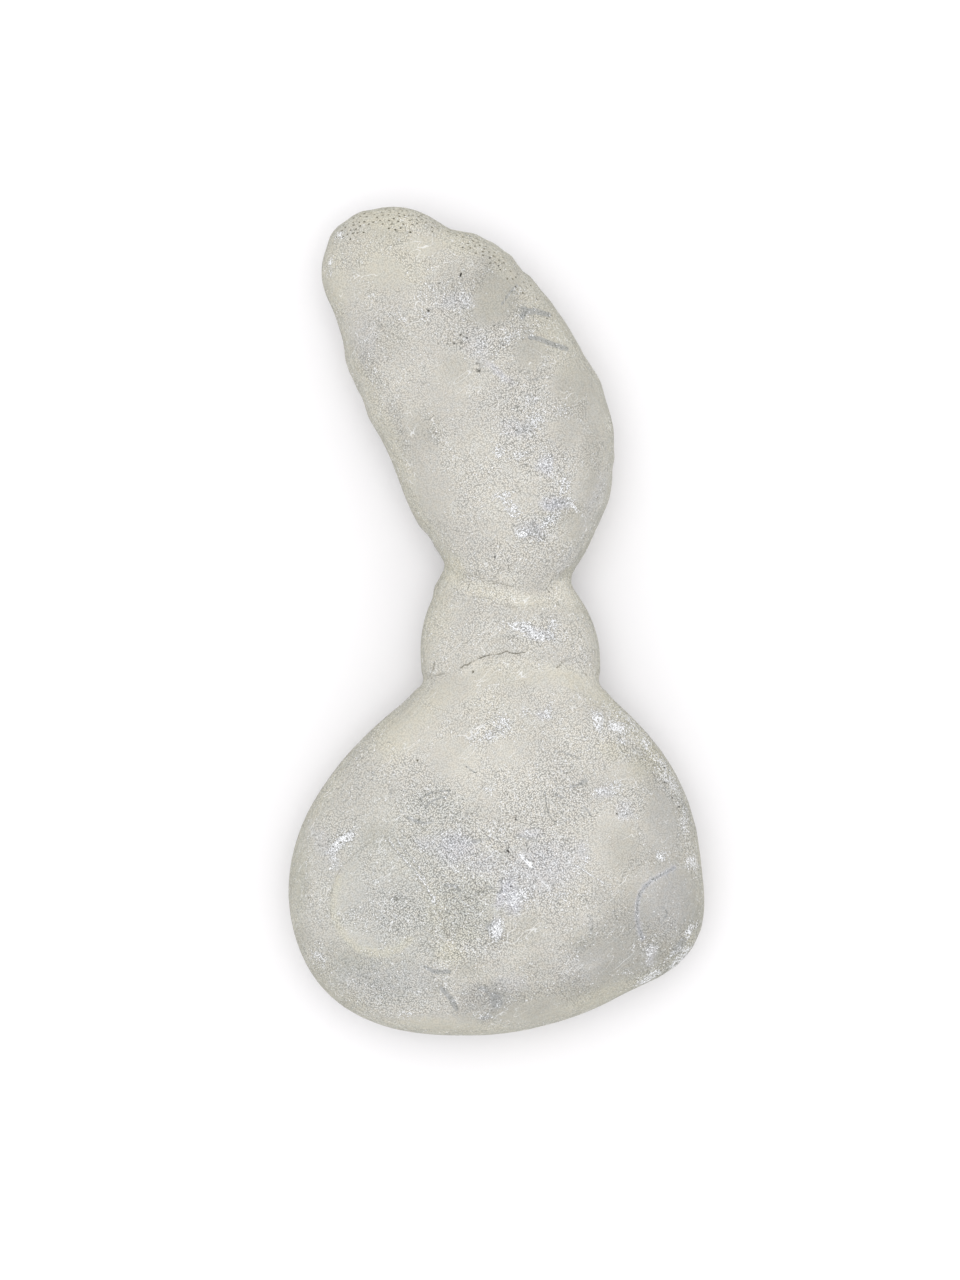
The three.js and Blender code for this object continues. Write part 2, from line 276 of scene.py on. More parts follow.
# A light, milky film; in the notches beside the neck and around the crack at the neck's lower end it is
# painted light that lifts the shade there.
MILKY_AND_PAINTED_LIGHT = [
    (0.5, 11.5, 3.0, 4.5, 0, 0.3),
    (1.0, 2.1, 2.6, 0.8, -10, 0.6),
    (5.8, 2.4, 1.5, 1.1, -30, 1.1),
    (5.0, -1.0, 3.4, 1.6, 0, 0.35),
    (-0.5, -7.4, 5.5, 1.4, 0, 0.33),
    (-6.5, -10.5, 3.4, 2.4, 40, 0.4),
    (7.2, -9.8, 3.4, 2.0, -40, 0.4),
    (0.0, -13.0, 4.6, 2.6, 0, 0.5),
    (1.0, -19.5, 3.5, 3.0, 0, 0.1),
    (7.4, -20.0, 1.8, 2.8, 0, 0.35),
    (8.4, -5.5, 1.3, 0.8, -40, 1.0),
    (7.4, -4.3, 1.0, 0.7, 0, 0.5),
    (9.6, -6.6, 1.0, 0.8, -45, 0.5),
    (1.2, 3.6, 1.2, 0.6, 0, 0.5),
    (4.2, 1.6, 1.0, 0.7, -20, 0.4),
    (-2.0, 2.7, 1.0, 0.6, 0, 0.45),
    (7.4, -17.5, 1.2, 0.9, 0, 0.4),
    (3.2, -17.7, 1.0, 0.8, 0, 0.35),
    (-4.1, 3.5, 0.8, 0.8, 0, 0.5),
    (-5.6, -22.8, 0.8, 1.0, 0, 0.35),
    (3.6, -8.0, 1.2, 0.9, 0, 0.4),
    (-0.2, -9.4, 1.8, 1.0, 0, 0.6),
    (-2.0, -3.9, 1.2, 0.5, 30, 0.45),
    (1.8, -3.3, 1.6, 0.5, 0, 0.4),
    (8.8, -16.4, 1.6, 1.0, 0, 0.45),
    (8.0, -24.9, 1.0, 0.9, 0, 0.4),
    (4.6, -6.0, 1.6, 1.4, 0, 0.5),
    (5.7, -19.1, 1.2, 1.0, 0, 0.35),
    (-6.0, -5.8, 1.0, 0.6, 40, 0.6),
    (4.4, -4.0, 1.6, 0.6, -10, 0.5),
    (3.5, -18.2, 1.2, 0.9, 0, 0.4),
]

# A cooler, greener grey.
SAGE = [
    (-9.0, -23.0, 7.0, 8.0, 0, 0.6),
    (-5.5, -16.5, 3.5, 2.5, 0, 0.5),
    (-10.0, -30.0, 5.0, 2.4, -20, 0.6),
    (-16.5, -22.0, 1.0, 5.0, 0, 0.5),
    (-2.5, -24.5, 3.0, 3.5, 0, 0.6),
]

# Bluish-grey smears of clay in the grain.
SMEARS = [
    (-3.2, 23.7, 1.0, 0.7, 0, 0.3),
    (-5.9, 26.0, 0.5, 0.9, 0, 0.35),
    (-4.0, 27.2, 0.7, 0.4, 30, 0.5),
    (-3.6, 25.3, 1.4, 0.7, 20, 0.3),
    (-1.2, 21.5, 0.6, 0.4, -30, 0.6),
    (0.5, 20.8, 0.8, 0.22, -45, 0.8),
    (2.9, 26.2, 1.2, 0.35, -8, 0.9),
    (3.1, 20.4, 0.7, 0.2, 5, 0.7),
    (-0.6, 25.0, 1.6, 0.3, 10, 0.35),
    (6.0, 19.6, 0.8, 0.5, 0, 0.4),
    (2.1, 16.1, 0.9, 0.5, 10, 0.6),
    (1.6, 14.9, 0.9, 0.3, -30, 0.5),
    (-5.6, 15.6, 0.8, 0.8, 0, 0.5),
    (5.6, 10.1, 1.2, 0.4, 10, 0.7),
    (3.1, 7.6, 0.5, 0.6, 0, 0.7),
    (4.5, 8.4, 0.8, 0.3, 30, 0.9),
    (5.3, 3.6, 0.8, 0.5, 30, 0.5),
    (-11.2, 22.2, 0.7, 0.6, 0, 0.5),
    (4.4, 0.2, 0.4, 0.7, -10, 0.5),
    (-5.3, -15.0, 1.4, 0.6, 15, 0.3),
    (-6.6, -17.0, 1.1, 0.45, -12, 0.5),
    (-8.8, -14.7, 0.4, 0.7, 0, 0.5),
    (-3.5, -16.6, 0.8, 0.7, 0, 0.25),
    (7.0, -13.8, 0.9, 0.25, 20, 0.9),
    (5.3, -15.8, 1.0, 1.4, 0, 0.25),
    (2.4, -18.4, 1.0, 0.4, -30, 0.5),
    (0.6, -19.8, 1.0, 0.8, 0, 0.5),
    (-3.8, -22.5, 0.9, 0.4, 0, 0.5),
    (-4.3, -24.3, 0.5, 0.8, 0, 0.5),
    (-7.9, -24.8, 0.9, 1.4, 0, 0.4),
    (-0.5, -25.8, 0.5, 0.5, 0, 0.8),
    (-5.6, -27.8, 0.6, 0.9, 0, 0.5),
    (-3.9, -31.9, 1.2, 0.28, -60, 0.9),
    (0.0, -32.3, 0.7, 0.9, 0, 1.0),
    (-0.8, -31.3, 0.9, 0.5, -35, 0.5),
    (-0.9, -33.6, 0.5, 0.2, 8, 0.8),
    (-9.0, -31.0, 1.2, 1.6, 0, 0.3),
    (-11.8, -29.6, 1.6, 0.5, -20, 0.4),
    (7.2, -27.6, 0.6, 0.6, 0, 0.5),
    (12.2, -26.6, 0.5, 0.8, 40, 0.5),
    (15.5, -27.7, 0.6, 1.0, -35, 0.9),
    (14.6, -12.6, 1.8, 0.3, -60, 0.6),
    (15.8, -16.0, 1.4, 0.25, -70, 0.6),
]

# Darker ground, grey-green above and warm grey at the lower right; partly painted shade, along the rims and
# at the lower right where the stone slopes away.
DARK_GROUND_AND_SHADE = [
    (-0.4, 27.0, 1.5, 2.0, -20, 0.9),
    (10.2, -11.0, 1.3, 0.7, 0, 0.6),
    (6.4, -1.2, 0.9, 1.0, 0, 0.35),
    (-13.3, -18.8, 1.2, 0.8, 48, 0.4),
    (-10.6, 30.6, 3.6, 3.4, 0, 0.25),
    (-3.0, 24.0, 1.4, 0.8, 0, 0.2),
    (0.2, 28.0, 2.4, 3.0, 20, 0.9),
    (-3.0, 28.2, 1.8, 2.2, 0, 0.4),
    (3.4, 23.8, 2.2, 2.6, -30, 0.6),
    (6.6, 19.5, 1.6, 3.2, 15, 0.55),
    (4.4, 25.6, 1.2, 3.0, 28, 0.55),
    (8.2, 13.5, 1.0, 4.0, 0, 0.5),
    (6.6, 9.0, 2.4, 1.3, 0, 0.5),
    (-9.6, 24.0, 2.6, 1.6, 0, 0.3),
    (-11.0, 21.4, 1.1, 2.8, 20, 0.5),
    (-8.0, 16.0, 1.0, 3.0, 25, 0.3),
    (12.4, -27.4, 4.6, 4.6, 20, 1.1),
    (15.2, -24.0, 2.2, 3.6, 0, 1.0),
    (16.4, -24.9, 1.1, 2.3, 0, 1.35),
    (14.4, -16.4, 1.9, 3.8, 15, 0.7),
    (14.4, -20.0, 2.0, 2.0, 0, 0.6),
    (13.0, -12.0, 1.6, 1.5, -35, 1.0),
    (9.0, -30.5, 5.5, 1.8, 18, 0.9),
    (8.2, -27.8, 2.4, 1.6, 20, 0.9),
    (-0.4, -32.2, 3.0, 1.7, 0, 1.0),
    (-11.0, -29.9, 4.2, 1.8, -22, 0.85),
    (-9.6, -24.2, 2.6, 2.2, 0, 0.3),
    (-10.0, -18.3, 1.4, 1.1, 0, 0.6),
    (-16.6, -22.0, 0.9, 2.0, 0, 0.8),
    (-3.2, -24.8, 3.0, 3.0, 0, 0.5),
    (0.2, -27.0, 1.2, 0.8, 0, 0.5),
    (11.2, -19.8, 1.6, 2.2, 0, 0.4),
    (-13.4, -30.8, 3.4, 1.1, -38, 0.75),
    (-5.0, -30.8, 1.4, 1.0, 0, 0.65),
    (-9.2, 33.0, 1.9, 1.1, 0, 0.7),
    (3.1, -32.2, 2.2, 1.8, 0, 0.6),
    (-8.2, -29.7, 1.8, 1.2, 0, 0.6),
    (-2.4, -29.3, 1.6, 1.0, 0, 0.5),
    (-16.2, -26.8, 0.9, 1.5, 20, 0.4),
    (6.1, 16.0, 1.2, 1.6, 0, 0.3),
    (3.9, 21.3, 1.3, 1.0, 0, 0.3),
    (-1.8, 26.0, 1.0, 1.2, 0, 0.55),
    (-6.0, 16.2, 1.4, 1.8, 20, 0.4),
    (0.2, -33.7, 2.0, 0.7, 0, 0.35),
    (-3.4, 21.4, 1.3, 1.3, 0, 0.35),
    (4.0, -29.6, 2.0, 1.2, 0, 0.35),
    (2.6, -26.0, 1.2, 1.4, 0, 0.35),
    (7.4, 7.3, 1.2, 1.4, 0, 0.35),
    (2.8, 25.8, 1.2, 0.9, 0, 0.4),
    (0.1, -20.1, 1.2, 1.0, 0, 0.35),
    (2.5, 21.6, 1.2, 0.9, 0, 0.35),
    (9.4, -29.6, 2.0, 1.0, 20, 1.1),
]

# Where the skin is more granular than usual, and where it is less so.
GRAINY = [
    (-3.8, 26.8, 3.4, 2.0, 0, 0.5),
    (-1.0, 24.0, 3.5, 1.6, 0, 0.6),
    (2.6, 25.2, 2.0, 1.2, 0, 0.6),
    (2.4, 16.6, 2.2, 4.4, 0, 0.9),
    (5.2, 12.5, 1.4, 4.5, -10, 0.8),
    (3.8, 7.6, 2.2, 1.4, 0, 0.8),
    (3.4, -0.8, 2.4, 1.2, 0, 0.7),
    (-0.2, -9.2, 1.8, 1.0, 0, 0.6),
    (6.0, -11.5, 3.6, 2.6, 0, 0.3),
    (4.4, -15.0, 4.4, 2.6, 0, 0.7),
    (-5.5, -15.5, 3.0, 2.2, 0, 0.6),
    (-1.5, -20.5, 5.5, 4.5, 0, 0.8),
    (4.0, -21.0, 3.4, 4.0, 0, 0.7),
    (-7.6, -24.8, 2.4, 2.2, 0, 0.8),
    (-3.0, -26.5, 3.6, 3.0, 0, 0.8),
    (-13.3, -18.8, 1.6, 0.8, 48, 0.8),
    (-15.0, -28.6, 1.6, 1.2, -40, 0.5),
    (-8.5, -31.6, 3.4, 1.6, 0, 0.4),
    (-1.2, -32.0, 1.6, 1.4, 0, 0.4),
    (10.8, -9.6, 3.4, 1.6, -42, 0.7),
    (14.2, -13.2, 3.2, 0.7, -60, 0.9),
    (16.0, -16.8, 2.4, 0.5, -75, 0.7),
    (15.3, -28.2, 2.8, 0.7, 52, 1.0),
    (12.9, -30.2, 1.8, 0.6, 25, 0.8),
    (16.6, -20.6, 0.6, 1.8, 5, 0.6),
    (1.0, 5.2, 4.5, 2.0, 0, 0.4),
    (-11.8, -12.6, 2.0, 1.6, 45, 0.4),
    (10.8, -15.4, 1.6, 1.4, 0, 0.5),
]
BARE = [
    (-12.6, 28.4, 1.8, 1.6, 0, 0.6),
    (-9.4, 29.4, 1.6, 1.4, 0, 0.7),
    (-6.0, 31.6, 1.6, 0.9, 0, 0.9),
    (-0.4, 26.9, 1.5, 2.0, -20, 1.0),
    (0.4, 28.5, 1.7, 0.9, 20, 0.9),
    (3.0, 22.6, 1.3, 1.4, 0, 1.0),
    (6.2, 19.8, 1.8, 1.4, 0, 0.8),
    (5.8, 15.9, 1.5, 1.5, 0, 0.8),
    (1.4, 12.7, 1.2, 0.5, 0, 0.6),
    (6.4, 7.8, 1.8, 1.0, 20, 0.7),
    (-4.0, 20.0, 1.8, 3.4, 0, 0.4),
    (-6.4, 15.0, 1.2, 3.6, 20, 0.4),
    (-5.0, 11.0, 1.8, 2.0, 0, 0.6),
    (8.6, 18.0, 0.9, 2.6, 0, 0.7),
    (7.8, 11.4, 1.2, 1.6, 0, 0.8),
    (-2.8, -5.6, 3.2, 1.2, 20, 0.8),
    (4.6, -4.9, 3.0, 0.8, -5, 0.6),
    (-7.0, -9.2, 2.0, 1.8, 40, 0.9),
    (-3.6, -11.6, 2.4, 1.6, 0, 0.7),
    (0.3, -11.2, 1.4, 1.2, 0, 0.6),
    (13.8, -17.0, 1.4, 2.6, 10, 1.0),
    (10.0, -18.6, 1.8, 2.6, 0, 0.7),
    (10.6, -12.8, 1.4, 0.8, 0, 0.5),
    (13.6, -22.8, 2.4, 2.2, 0, 0.6),
    (15.8, -23.2, 1.4, 2.2, 0, 0.8),
    (-12.6, -22.5, 1.4, 2.4, -15, 0.6),
    (-11.4, -27.0, 1.8, 0.8, -25, 0.6),
    (9.4, -28.6, 2.6, 1.4, 20, 0.6),
    (3.0, -33.0, 3.0, 0.9, 8, 0.8),
    (-4.2, -34.0, 3.6, 0.7, -4, 0.7),
]

# Lines on the skin, each as points, whose corners are rounded off.
# The edge of the upper lobe's end, where it laps over the neck.
OVERLAP = [
    (-3.9, 4.4),
    (-3.2, 3.85),
    (-1.8, 3.65),
    (0.3, 3.1),
    (1.8, 2.65),
    (3.2, 2.4),
    (4.4, 2.8),
    (5.4, 3.6),
    (6.1, 4.2),
]
# The upper left edge of the disc on the belly's left.
LEFT_DISC_EDGE = [
    (-10.6, -18.75),
    (-11.5, -19.4),
    (-12.4, -20.15),
    (-13.1, -20.95),
    (-13.8, -22.3),
    (-14.1, -23.7),
    (-14.0, -24.9),
]
# The left edge of the disc on the belly's right.
RIGHT_DISC_EDGE = [
    (15.1, -20.9),
    (13.9, -21.6),
    (12.9, -22.2),
    (12.1, -23.1),
    (11.9, -24.5),
    (12.0, -25.8),
    (12.4, -26.9),
]
# A hooked stroke of clay on the belly.
HOOK = [
    (-6.5, -15.2),
    (-5.9, -14.7),
    (-4.95, -14.45),
    (-3.9, -14.35),
    (-4.1, -14.9),
    (-5.4, -15.2),
    (-6.0, -15.8),
]

# Creases and fine cracks, each with its half width, depth and darkness; the darkness is painted shade in the
# crease.
CREASES = [
    (OVERLAP, 0.34, 0.1, 0.12),
    ([(0.1, 3.2), (0.5, 3.0), (1.0, 2.95)], 0.06, 0.1, 0.6),
    ([(1.5, 2.8), (1.8, 2.5), (2.0, 2.2)], 0.05, 0.08, 0.5),
    ([(4.3, 2.8), (4.55, 2.4)], 0.05, 0.1, 0.7),
    ([(4.5, 3.0), (4.85, 2.6)], 0.05, 0.1, 0.6),
    ([(-2.45, 2.6), (-2.2, 3.1)], 0.05, 0.08, 0.5),
    # Wrinkles that fan out from the left notch.
    ([(-3.9, 4.2), (-4.5, 3.1), (-4.8, 1.8)], 0.14, 0.06, 0.12),
    ([(-3.6, 3.7), (-4.0, 2.9), (-4.2, 1.9)], 0.14, 0.06, 0.12),
    ([(-3.3, 3.3), (-3.3, 2.6), (-3.5, 1.9)], 0.12, 0.05, 0.1),
    # The thin ledge below it.
    ([(-2.0, 2.0), (-0.8, 2.0), (0.0, 1.7), (0.9, 1.2), (1.9, 1.1)], 0.12, 0.07, 0.25),
    ([(1.9, 1.1), (3.7, 1.4), (5.6, 1.6)], 0.09, 0.05, 0.12),
    # The open crack at the neck's lower end, and the wrinkles beside it.
    ([(-3.0, -3.95), (-2.6, -3.7), (-2.1, -3.55), (-1.7, -3.3), (-1.2, -3.15)], 0.08, 0.18, 1.0),
    ([(-1.2, -3.15), (-0.7, -2.9), (0.4, -2.8), (0.9, -2.6), (1.5, -2.75), (2.5, -2.7)], 0.06, 0.14, 0.8),
    ([(-3.6, -4.15), (-2.6, -3.8), (-0.75, -3.05), (0.35, -2.9), (2.5, -2.95), (4.0, -3.4)], 0.3, 0.07, 0.04),
    ([(5.1, -3.95), (5.8, -3.45), (6.6, -3.2)], 0.09, 0.12, 0.6),
    ([(-5.9, -4.9), (-5.4, -4.3), (-5.2, -3.5)], 0.09, 0.1, 0.6),
    ([(-5.6, -4.9), (-5.0, -4.6), (-4.4, -4.5)], 0.09, 0.1, 0.6),
    ([(7.9, -4.9), (7.3, -4.2), (7.1, -3.5)], 0.09, 0.08, 0.5),
    (LEFT_DISC_EDGE, 0.07, 0.04, 0.3),
    # The folds between the left disc and the belly's middle, which meet in a pinch.
    ([(-9.4, -18.4), (-8.4, -19.6), (-7.0, -21.3), (-5.7, -23.1), (-5.1, -23.9)], 0.12, 0.06, 0.2),
    ([(-8.7, -18.3), (-7.5, -19.8), (-6.4, -21.1), (-5.7, -22.2)], 0.1, 0.05, 0.15),
    ([(-5.0, -24.1), (-4.6, -25.6), (-4.0, -27.0)], 0.12, 0.05, 0.2),
    ([(-5.6, -24.3), (-5.3, -25.5), (-5.5, -26.9)], 0.12, 0.05, 0.2),
]

# Narrow streaks of clay, chalk, lilac bloom and cream crust, each with its half width and strength.
CLAY_STREAKS = [
    (HOOK, 0.08, 0.85),
    ([(-7.5, -16.7), (-6.9, -16.9), (-6.2, -17.1), (-5.5, -17.1)], 0.12, 0.9),
    ([(-2.75, -12.2), (-2.3, -12.5), (-1.8, -12.85)], 0.07, 0.8),
    ([(4.15, -14.5), (4.3, -15.9), (4.7, -16.9), (5.5, -17.25), (6.2, -16.7)], 0.08, 0.7),
    ([(5.0, -14.7), (5.6, -15.0)], 0.1, 0.8),
    ([(5.0, -11.0), (6.2, -11.3), (7.1, -11.7)], 0.1, 0.7),
    ([(-2.4, -18.8), (-1.4, -18.6), (-0.5, -18.4)], 0.12, 0.8),
    ([(2.0, -18.2), (2.7, -18.4), (3.4, -18.6)], 0.1, 0.8),
    ([(-4.3, -22.4), (-3.6, -22.4), (-3.05, -22.8)], 0.13, 0.9),
    ([(-0.95, -22.4), (-0.3, -22.6), (0.35, -23.1)], 0.09, 0.8),
    ([(-2.4, -16.2), (-2.7, -16.7), (-3.0, -17.2)], 0.08, 0.7),
    ([(7.5, -15.8), (7.8, -16.1), (8.0, -16.5)], 0.09, 1.0),
    ([(8.0, -25.0), (8.1, -26.4)], 0.2, 0.6),
    ([(-8.8, -14.1), (-8.95, -15.3)], 0.1, 0.6),
    ([(6.3, -14.1), (7.0, -13.9), (7.6, -13.6)], 0.1, 0.9),
    ([(-4.6, -31.1), (-4.0, -31.8), (-3.3, -32.9)], 0.19, 1.1),
    ([(-6.0, -29.3), (-5.2, -29.75), (-4.0, -29.7)], 0.15, 1.2),
    ([(-1.3, -31.1), (-0.6, -31.5), (0.1, -32.0)], 0.16, 0.9),
    ([(-1.2, -33.7), (-0.9, -33.45), (-0.4, -33.5)], 0.11, 0.9),
    ([(2.2, 25.7), (2.5, 26.2), (3.3, 26.2), (4.4, 25.85)], 0.2, 1.3),
    ([(2.9, 23.95), (3.6, 23.85), (4.6, 23.4), (5.8, 22.9)], 0.18, 1.3),
    ([(0.5, 26.8), (1.2, 27.8), (1.8, 28.4)], 0.12, 0.7),
    ([(0.5, -21.8), (0.5, -22.9)], 0.08, 0.8),
    (RIGHT_DISC_EDGE, 0.11, 0.95),
    ([(14.0, -24.2), (14.6, -24.6), (14.2, -25.3)], 0.08, 0.8),
]
CHALK_STREAKS = [
    ([(3.9, 7.9), (4.5, 8.4), (5.1, 8.7)], 0.13, 0.9),
    ([(5.45, 10.6), (5.6, 11.4), (5.85, 12.1)], 0.1, 0.9),
    ([(6.1, 10.3), (6.5, 9.7), (7.0, 9.2)], 0.14, 0.7),
    ([(0.9, 9.4), (1.2, 8.9), (1.8, 8.75)], 0.06, 0.9),
    ([(3.2, 16.8), (3.7, 17.1)], 0.15, 0.9),
    ([(2.05, -19.85), (2.5, -20.3), (3.0, -20.85)], 0.07, 3.0),
    ([(2.6, -20.4), (3.0, -20.85)], 0.09, 3.0),
    ([(6.7, -20.7), (9.1, -22.2)], 0.05, 1.0),
    ([(-9.0, -18.6), (-8.1, -19.9), (-6.4, -21.6), (-5.3, -23.6)], 0.07, 0.8),
    ([(-8.3, -18.6), (-7.4, -19.8), (-6.4, -21.0), (-5.9, -22.2)], 0.06, 0.8),
    ([(-5.25, -23.4), (-5.25, -23.8)], 0.12, 1.2),
    ([(7.8, -19.9), (7.5, -20.6)], 0.1, 0.7),
    ([(0.2, 10.6), (1.0, 9.9), (1.6, 9.2)], 0.12, 0.7),
    ([(1.35, -0.3), (1.8, -0.7), (2.3, -0.8)], 0.24, 0.8),
    ([(2.1, -0.3), (2.6, -0.4), (3.0, -0.8), (3.3, -1.35), (3.9, -1.55), (4.4, -1.2)], 0.26, 0.8),
    ([(4.4, -1.1), (4.6, -0.5), (4.8, -0.1)], 0.2, 0.7),
]
LILAC_STREAKS = [
    (RIGHT_DISC_EDGE, 0.2, 0.9),
    ([(0.2, -24.0), (0.6, -22.9), (1.3, -22.0)], 0.3, 1.2),
]
CREAM_STREAKS = [
    ([(8.8, -5.9), (10.5, -7.7), (12.5, -10.0), (14.3, -12.6)], 0.5, 1.0),
    ([(6.3, 3.9), (7.2, 2.4), (8.0, 0.6)], 0.5, 0.5),
    (
        [(-13.3, -21.8), (-13.8, -24.0), (-13.6, -25.4), (-12.7, -26.9), (-11.5, -27.9), (-10.3, -28.15)],
        0.26,
        1.0,
    ),
    ([(-10.3, -28.15), (-9.1, -28.05), (-8.1, -27.6), (-7.3, -27.0)], 0.3, 1.0),
    ([(-11.2, -27.8), (-9.9, -28.05)], 0.3, 1.0),
]

# Small black grains and dark crumbs, as patches.
BLACK_GRAINS = [
    (-2.98, 29.25, 0.2, 0.08, 72, 1.0),
    (-0.08, 5.37, 0.07, 0.07, 0, 0.9),
    (1.66, -16.83, 0.09, 0.06, 0, 1.0),
    (1.01, -19.5, 0.12, 0.08, -45, 1.0),
    (1.25, -22.5, 0.08, 0.08, 0, 1.0),
    (14.26, -12.45, 0.08, 0.07, 0, 0.8),
    (14.3, -13.7, 0.08, 0.07, 0, 0.8),
    (14.95, -15.0, 0.08, 0.07, 0, 0.8),
    (15.5, -15.75, 0.09, 0.07, 0, 0.8),
    (-0.52, 30.67, 0.09, 0.09, 0, 0.7),
    (0.21, 30.03, 0.08, 0.07, 0, 0.7),
    (1.72, 29.07, 0.07, 0.07, 0, 0.7),
    (-1.39, 21.1, 0.09, 0.09, 0, 0.9),
    (-1.6, 21.75, 0.07, 0.07, 0, 0.8),
    (-4.8, 28.5, 0.08, 0.05, 0, 0.7),
    (-5.72, 26.22, 0.1, 0.09, 0, 0.9),
    (-6.08, 25.62, 0.12, 0.06, 30, 0.6),
    (-3.0, 24.18, 0.12, 0.07, 20, 0.7),
    (-2.45, 23.92, 0.12, 0.08, -40, 0.7),
    (-3.5, 23.47, 0.1, 0.08, 0, 0.7),
    (-2.95, 23.52, 0.08, 0.1, 0, 0.6),
    (-4.85, 23.45, 0.07, 0.1, 0, 0.6),
    (-4.1, 23.4, 0.09, 0.06, 0, 0.6),
    (0.6, 23.3, 0.1, 0.08, 0, 0.6),
]

# Where the steep sides stand a little out from the solid or in from it: (x, y, reach, how far out).
SIDES = [
    (-12.7, 22.4, 2.4, -0.35),
    (-11.9, 19.3, 2.2, -0.45),
    (-4.7, 3.2, 1.3, 0.45),
    (-4.6, 5.2, 1.0, -0.22),
    (-6.0, -5.3, 0.9, -0.3),
    (8.9, -5.2, 0.8, -0.2),
    (6.4, 23.9, 2.6, 0.25),
    (3.2, 29.0, 1.6, -0.25),
    (-13.6, 33.0, 1.4, 0.25),
    (-2.4, 32.7, 1.3, 0.32),
    (-0.9, 32.2, 1.6, 0.25),
    (9.0, 8.8, 3.0, -0.28),
    (10.0, 12.0, 1.6, -0.2),
    (10.1, 13.8, 2.2, -0.2),
    (8.4, 20.6, 1.8, 0.2),
    (4.0, 27.6, 0.9, -0.12),
    (2.2, 30.1, 1.0, -0.28),
    (-11.8, 34.3, 1.2, 0.2),
    (-5.4, 6.8, 1.4, -0.25),
]

# The pits: how many are tried, how far apart they keep, how likely one is to be anywhere, and the
# patches where they crowd together.
PIT_TRIES = 400
PIT_SPACING = 0.4
STRAY_PITS = 0.0001
PITTED = [
    (-9.2, 34.3, 3.6, 0.9, 0, 1.0),
    (-11.5, 33.9, 2.0, 0.8, 35, 0.7),
    (-8.3, 34.0, 1.6, 0.9, 0, 1.0),
    (-5.2, 33.9, 2.0, 0.7, -15, 0.5),
    (-1.2, 31.4, 2.2, 0.8, -35, 0.12),
    (1.8, 29.2, 2.6, 0.8, -48, 0.08),
]


# ---- Fields over the skin -----------------------------------------------------------------------


def ease(low, high, value):
    """0 below low and 1 above high, with a smooth turn between them."""
    share = np.clip((value - low) / (high - low), 0, 1)
    return share * share * (3 - 2 * share)


def lumps(places, size, octaves, seed):
    """Smooth noise, about -1 to 1, with its broadest lumps about size across."""
    shift = np.array((31.7, -17.3, 11.9)) * seed
    spots = (places / size + shift).tolist()
    return np.array([noise.fractal(spot, 1.0, 2.0, octaves) for spot in spots])


def drift(places, size, seeds):
    """A noise in each direction, to push places about."""
    return np.stack([lumps(places, size, 2, seed) for seed in seeds], axis=1)


def facing_up(outwards):
    """1 where the skin faces up and shows its marks, and 0 where it faces down."""
    return ease(-0.1, 0.3, outwards[:, 2])


def seen_from_above(places):
    """The places, moved sideways to where the camera sees them on the plane that it aims at."""
    aim = np.array(CAMERA_AIM) / MM
    height = CAMERA_HEIGHT / MM
    growth = height / (height + aim[2] - places[:, 2:])
    return np.hstack((aim[:2] + (places[:, :2] - aim[:2]) * growth, places[:, 2:]))


def spot_reach(places, mark):
    """How far each place is from the middle of a mark, seen from above: 1 is at the mark's edge."""
    x, y, length, width, turn = mark[:5]
    angle = math.radians(turn)
    dx, dy = places[:, 0] - x, places[:, 1] - y
    along = dx * math.cos(angle) + dy * math.sin(angle)
    across = dy * math.cos(angle) - dx * math.sin(angle)
    return np.hypot(along / length, across / width)


def patches(places, marks, inner=0.4, outer=1.5):
    """The strongest of the patches at each place, each fading out across its edge."""
    found = np.zeros(len(places))
    for mark in marks:
        strength = mark[5]
        found = np.maximum(found, strength * (1 - ease(inner, outer, spot_reach(places, mark))))
    return found


def rounded(points):
    """A line's points with its corners cut off twice."""
    line = np.array(points, float)
    for _ in range(2):
        near = 0.75 * line[:-1] + 0.25 * line[1:]
        far = 0.25 * line[:-1] + 0.75 * line[1:]
        inner = np.stack((near, far), axis=1).reshape(-1, 2)
        line = np.vstack((line[:1], inner, line[-1:]))
    return line


def line_distance(places, points):
    """How far each place is from a line, seen from above."""
    line = rounded(points)
    found = np.full(len(places), np.inf)
    for start, end in zip(line, line[1:]):
        step = end - start
        share = np.clip((places[:, :2] - start) @ step / (step @ step), 0, 1)
        found = np.minimum(found, np.hypot(*(places[:, :2] - start - share[:, None] * step).T))
    return found


def streaks(places, lines):
    """The strongest of the streaks at each place, each fading out across its edge."""
    found = np.zeros(len(places))
    for points, half_width, strength in lines:
        away = line_distance(places, points) / half_width
        found = np.maximum(found, strength * (1 - ease(0.5, 1.8, away)))
    return found


def nearest(places, points):
    """How far each place is from the nearest of the points."""
    found = np.full(len(places), np.inf)
    for point in points:
        found = np.minimum(found, np.linalg.norm(places - point, axis=1))
    return found


# ---- What is where: the fields that the material reads ------------------------------------------

PATCHES = {
    "dark_ground_and_shade": DARK_GROUND_AND_SHADE,
    "cream": CREAM,
    "milky_and_painted_light": MILKY_AND_PAINTED_LIGHT,
    "sage": SAGE,
    "lilac": LILAC,
    "clay": SMEARS,
    "chalk": CHALK,
}
STREAKS = {
    "clay": CLAY_STREAKS,
    "chalk": CHALK_STREAKS,
    "lilac": LILAC_STREAKS,
    "cream": CREAM_STREAKS,
}

# Where the skin faces down, noise stands in for the patches: the size of its lumps, the two levels
# that it eases in between, its strength and its seed.
PATCHES_BELOW = {
    "dark_ground_and_shade": (7.0, 0.1, 0.7, 1.0, 22),
    "cream": (6.0, 0.0, 0.5, 1.0, 23),
    "lilac": (5.0, 0.2, 0.7, 1.0, 24),
    "clay": (2.4, 0.25, 0.6, 1.0, 25),
    "chalk": (2.6, 0.3, 0.6, 0.7, 26),
}

